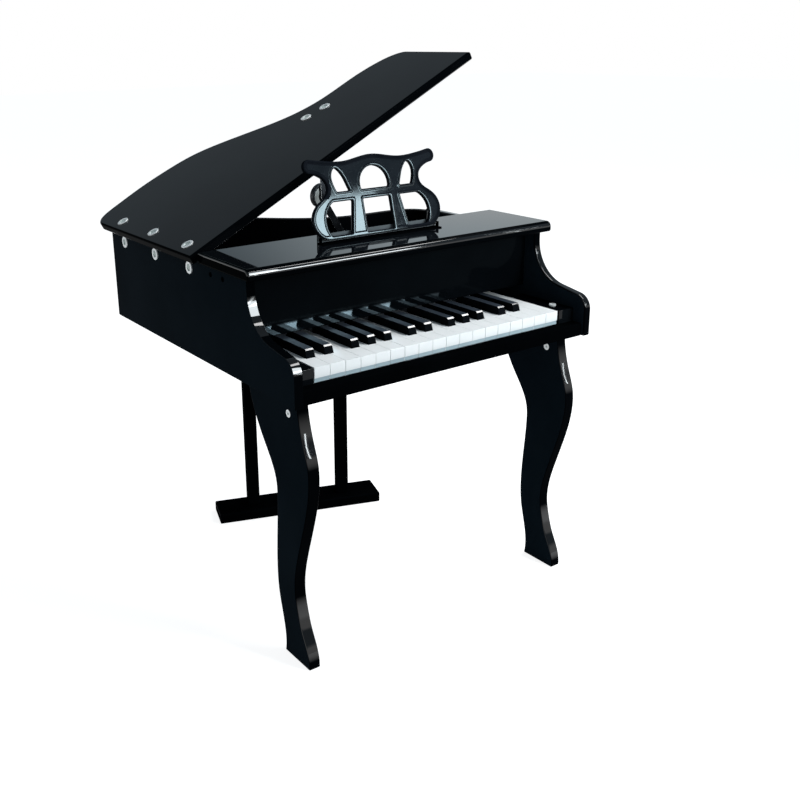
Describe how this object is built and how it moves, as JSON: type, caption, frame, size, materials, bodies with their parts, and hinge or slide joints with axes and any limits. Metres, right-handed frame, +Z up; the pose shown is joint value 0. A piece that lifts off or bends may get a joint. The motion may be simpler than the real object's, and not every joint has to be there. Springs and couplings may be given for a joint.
{
  "type": "toy piano",
  "caption": "Child's baby grand toy piano in black lacquer: sprung keys that strike tuned chime rods, hinged lid on a folding stay, lyre music rest, sawn cabriole legs and a rear trestle.",
  "frame": {"origin": "on the floor, under the middle of the case's width and of the depth with the lid; the open lid's overhang puts the middle of the whole box 5 mm to the left", "axes": "+X to the treble end, +Y from the keyboard to the tail, +Z up from the floor"},
  "size_m": [0.5218, 0.5612, 0.7633],
  "materials": {
    "black_lacquer": "piano-black gloss lacquer on board",
    "plain_wood": "bare beech",
    "white_key": "white gloss",
    "black_key": "black gloss",
    "rest_plastic": "black gloss",
    "black_metal": "black enamel",
    "steel": "zinc plated",
    "stay_steel": "dark satin enamel on steel",
    "iron": "grey cast",
    "felt": "pressed wool felt"
  },
  "bodies": {
    "case": {"left_side_panel": "black_lacquer", "right_side_panel": "black_lacquer", "bent_rim": "black_lacquer", "bottom_board": "black_lacquer", "fallboard": "black_lacquer", "top_shelf": "black_lacquer", "key_slip": "black_lacquer", "key_blocks": "black_lacquer", "front_legs": "black_lacquer", "rear_trestle": "black_lacquer", "key_rails": "plain_wood", "key_felts": "felt", "chime_block": "iron", "music_rest_base": "black_metal", "hinge_case_leaves": "black_metal", "key_pivot_rod": "steel", "chime_rods": "steel", "music_rest_rod": "black_metal", "hinge_pins": "steel", "case_bolts": "steel", "leg_bolts": "steel", "stay_case_bracket": "stay_steel"},
    "lid": {"lid": "black_lacquer", "hinge_lid_leaves": "black_metal", "lid_bolts": "steel", "stay_lid_bracket": "stay_steel"},
    "stay_upper_arm": {"stay_upper_arm": "stay_steel"},
    "stay_lower_arm": {"stay_lower_arm": "stay_steel", "stay_friction_disc": "stay_steel"},
    "music_rest": {"music_rest": "rest_plastic"},
    "key_01": {"key_01": "white_key"},
    "key_02": {"key_02": "black_key"},
    "key_03": {"key_03": "white_key"},
    "key_04": {"key_04": "black_key"},
    "key_05": {"key_05": "white_key"},
    "key_06": {"key_06": "white_key"},
    "key_07": {"key_07": "black_key"},
    "key_08": {"key_08": "white_key"},
    "key_09": {"key_09": "black_key"},
    "key_10": {"key_10": "white_key"},
    "key_11": {"key_11": "black_key"},
    "key_12": {"key_12": "white_key"},
    "key_13": {"key_13": "white_key"},
    "key_14": {"key_14": "black_key"},
    "key_15": {"key_15": "white_key"},
    "key_16": {"key_16": "black_key"},
    "key_17": {"key_17": "white_key"},
    "key_18": {"key_18": "white_key"},
    "key_19": {"key_19": "black_key"},
    "key_20": {"key_20": "white_key"},
    "key_21": {"key_21": "black_key"},
    "key_22": {"key_22": "white_key"},
    "key_23": {"key_23": "black_key"},
    "key_24": {"key_24": "white_key"},
    "key_25": {"key_25": "white_key"},
    "key_26": {"key_26": "black_key"},
    "key_27": {"key_27": "white_key"},
    "key_28": {"key_28": "black_key"},
    "key_29": {"key_29": "white_key"},
    "key_30": {"key_30": "white_key"}
  },
  "joints": [
    {"name": "lid_hinge", "type": "hinge", "parent": "case", "child": "lid", "pos_m": [-0.2528, 0.0855, 0.5096], "axis": [0, 1, 0], "range_deg": [0, 27.3]},
    {"name": "stay_foot_pivot", "type": "hinge", "parent": "case", "child": "stay_lower_arm", "pos_m": [0.105, 0.1129, 0.459], "axis": [0, -1, 0], "range_deg": [0, 79.7]},
    {"name": "stay_lid_pivot", "type": "hinge", "parent": "lid", "child": "stay_upper_arm", "pos_m": [0.04709, 0.1015, 0.65853], "axis": [0, 1, 0], "range_deg": [0, 15.4]},
    {"name": "music_rest_pivot", "type": "hinge", "parent": "case", "child": "music_rest", "pos_m": [0, -0.1205, 0.53116], "axis": [1, 0, 0], "range_deg": [0, 100]},
    {"name": "key_01_press", "type": "hinge", "parent": "case", "child": "key_01", "pos_m": [-0.2001, -0.1055, 0.404], "axis": [1, 0, 0], "range_deg": [0, 3], "stiffness_Nm_per_rad": 0.8, "springref_deg": -4.58},
    {"name": "key_02_press", "type": "hinge", "parent": "case", "child": "key_02", "pos_m": [-0.1863, -0.1055, 0.404], "axis": [1, 0, 0], "range_deg": [0, 3], "stiffness_Nm_per_rad": 0.8, "springref_deg": -4.58},
    {"name": "key_03_press", "type": "hinge", "parent": "case", "child": "key_03", "pos_m": [-0.1725, -0.1055, 0.404], "axis": [1, 0, 0], "range_deg": [0, 3], "stiffness_Nm_per_rad": 0.8, "springref_deg": -4.58},
    {"name": "key_04_press", "type": "hinge", "parent": "case", "child": "key_04", "pos_m": [-0.1587, -0.1055, 0.404], "axis": [1, 0, 0], "range_deg": [0, 3], "stiffness_Nm_per_rad": 0.8, "springref_deg": -4.58},
    {"name": "key_05_press", "type": "hinge", "parent": "case", "child": "key_05", "pos_m": [-0.1449, -0.1055, 0.404], "axis": [1, 0, 0], "range_deg": [0, 3], "stiffness_Nm_per_rad": 0.8, "springref_deg": -4.58},
    {"name": "key_06_press", "type": "hinge", "parent": "case", "child": "key_06", "pos_m": [-0.13143, -0.1055, 0.404], "axis": [1, 0, 0], "range_deg": [0, 3], "stiffness_Nm_per_rad": 0.8, "springref_deg": -4.58},
    {"name": "key_07_press", "type": "hinge", "parent": "case", "child": "key_07", "pos_m": [-0.11829, -0.1055, 0.404], "axis": [1, 0, 0], "range_deg": [0, 3], "stiffness_Nm_per_rad": 0.8, "springref_deg": -4.58},
    {"name": "key_08_press", "type": "hinge", "parent": "case", "child": "key_08", "pos_m": [-0.10514, -0.1055, 0.404], "axis": [1, 0, 0], "range_deg": [0, 3], "stiffness_Nm_per_rad": 0.8, "springref_deg": -4.58},
    {"name": "key_09_press", "type": "hinge", "parent": "case", "child": "key_09", "pos_m": [-0.092, -0.1055, 0.404], "axis": [1, 0, 0], "range_deg": [0, 3], "stiffness_Nm_per_rad": 0.8, "springref_deg": -4.58},
    {"name": "key_10_press", "type": "hinge", "parent": "case", "child": "key_10", "pos_m": [-0.07886, -0.1055, 0.404], "axis": [1, 0, 0], "range_deg": [0, 3], "stiffness_Nm_per_rad": 0.8, "springref_deg": -4.58},
    {"name": "key_11_press", "type": "hinge", "parent": "case", "child": "key_11", "pos_m": [-0.06571, -0.1055, 0.404], "axis": [1, 0, 0], "range_deg": [0, 3], "stiffness_Nm_per_rad": 0.8, "springref_deg": -4.58},
    {"name": "key_12_press", "type": "hinge", "parent": "case", "child": "key_12", "pos_m": [-0.05257, -0.1055, 0.404], "axis": [1, 0, 0], "range_deg": [0, 3], "stiffness_Nm_per_rad": 0.8, "springref_deg": -4.58},
    {"name": "key_13_press", "type": "hinge", "parent": "case", "child": "key_13", "pos_m": [-0.0391, -0.1055, 0.404], "axis": [1, 0, 0], "range_deg": [0, 3], "stiffness_Nm_per_rad": 0.8, "springref_deg": -4.58},
    {"name": "key_14_press", "type": "hinge", "parent": "case", "child": "key_14", "pos_m": [-0.0253, -0.1055, 0.404], "axis": [1, 0, 0], "range_deg": [0, 3], "stiffness_Nm_per_rad": 0.8, "springref_deg": -4.58},
    {"name": "key_15_press", "type": "hinge", "parent": "case", "child": "key_15", "pos_m": [-0.0115, -0.1055, 0.404], "axis": [1, 0, 0], "range_deg": [0, 3], "stiffness_Nm_per_rad": 0.8, "springref_deg": -4.58},
    {"name": "key_16_press", "type": "hinge", "parent": "case", "child": "key_16", "pos_m": [0.0023, -0.1055, 0.404], "axis": [1, 0, 0], "range_deg": [0, 3], "stiffness_Nm_per_rad": 0.8, "springref_deg": -4.58},
    {"name": "key_17_press", "type": "hinge", "parent": "case", "child": "key_17", "pos_m": [0.0161, -0.1055, 0.404], "axis": [1, 0, 0], "range_deg": [0, 3], "stiffness_Nm_per_rad": 0.8, "springref_deg": -4.58},
    {"name": "key_18_press", "type": "hinge", "parent": "case", "child": "key_18", "pos_m": [0.02957, -0.1055, 0.404], "axis": [1, 0, 0], "range_deg": [0, 3], "stiffness_Nm_per_rad": 0.8, "springref_deg": -4.58},
    {"name": "key_19_press", "type": "hinge", "parent": "case", "child": "key_19", "pos_m": [0.04271, -0.1055, 0.404], "axis": [1, 0, 0], "range_deg": [0, 3], "stiffness_Nm_per_rad": 0.8, "springref_deg": -4.58},
    {"name": "key_20_press", "type": "hinge", "parent": "case", "child": "key_20", "pos_m": [0.05586, -0.1055, 0.404], "axis": [1, 0, 0], "range_deg": [0, 3], "stiffness_Nm_per_rad": 0.8, "springref_deg": -4.58},
    {"name": "key_21_press", "type": "hinge", "parent": "case", "child": "key_21", "pos_m": [0.069, -0.1055, 0.404], "axis": [1, 0, 0], "range_deg": [0, 3], "stiffness_Nm_per_rad": 0.8, "springref_deg": -4.58},
    {"name": "key_22_press", "type": "hinge", "parent": "case", "child": "key_22", "pos_m": [0.08214, -0.1055, 0.404], "axis": [1, 0, 0], "range_deg": [0, 3], "stiffness_Nm_per_rad": 0.8, "springref_deg": -4.58},
    {"name": "key_23_press", "type": "hinge", "parent": "case", "child": "key_23", "pos_m": [0.09529, -0.1055, 0.404], "axis": [1, 0, 0], "range_deg": [0, 3], "stiffness_Nm_per_rad": 0.8, "springref_deg": -4.58},
    {"name": "key_24_press", "type": "hinge", "parent": "case", "child": "key_24", "pos_m": [0.10843, -0.1055, 0.404], "axis": [1, 0, 0], "range_deg": [0, 3], "stiffness_Nm_per_rad": 0.8, "springref_deg": -4.58},
    {"name": "key_25_press", "type": "hinge", "parent": "case", "child": "key_25", "pos_m": [0.1219, -0.1055, 0.404], "axis": [1, 0, 0], "range_deg": [0, 3], "stiffness_Nm_per_rad": 0.8, "springref_deg": -4.58},
    {"name": "key_26_press", "type": "hinge", "parent": "case", "child": "key_26", "pos_m": [0.1357, -0.1055, 0.404], "axis": [1, 0, 0], "range_deg": [0, 3], "stiffness_Nm_per_rad": 0.8, "springref_deg": -4.58},
    {"name": "key_27_press", "type": "hinge", "parent": "case", "child": "key_27", "pos_m": [0.1495, -0.1055, 0.404], "axis": [1, 0, 0], "range_deg": [0, 3], "stiffness_Nm_per_rad": 0.8, "springref_deg": -4.58},
    {"name": "key_28_press", "type": "hinge", "parent": "case", "child": "key_28", "pos_m": [0.1633, -0.1055, 0.404], "axis": [1, 0, 0], "range_deg": [0, 3], "stiffness_Nm_per_rad": 0.8, "springref_deg": -4.58},
    {"name": "key_29_press", "type": "hinge", "parent": "case", "child": "key_29", "pos_m": [0.1771, -0.1055, 0.404], "axis": [1, 0, 0], "range_deg": [0, 3], "stiffness_Nm_per_rad": 0.8, "springref_deg": -4.58},
    {"name": "key_30_press", "type": "hinge", "parent": "case", "child": "key_30", "pos_m": [0.1955, -0.1055, 0.404], "axis": [1, 0, 0], "range_deg": [0, 3], "stiffness_Nm_per_rad": 0.8, "springref_deg": -4.58}
  ],
  "couplings": [
    {"joint": "stay_foot_pivot", "follows": "lid_hinge", "ratio": 2.9155},
    {"joint": "stay_lid_pivot", "follows": "lid_hinge", "ratio": 0.5595}
  ]
}
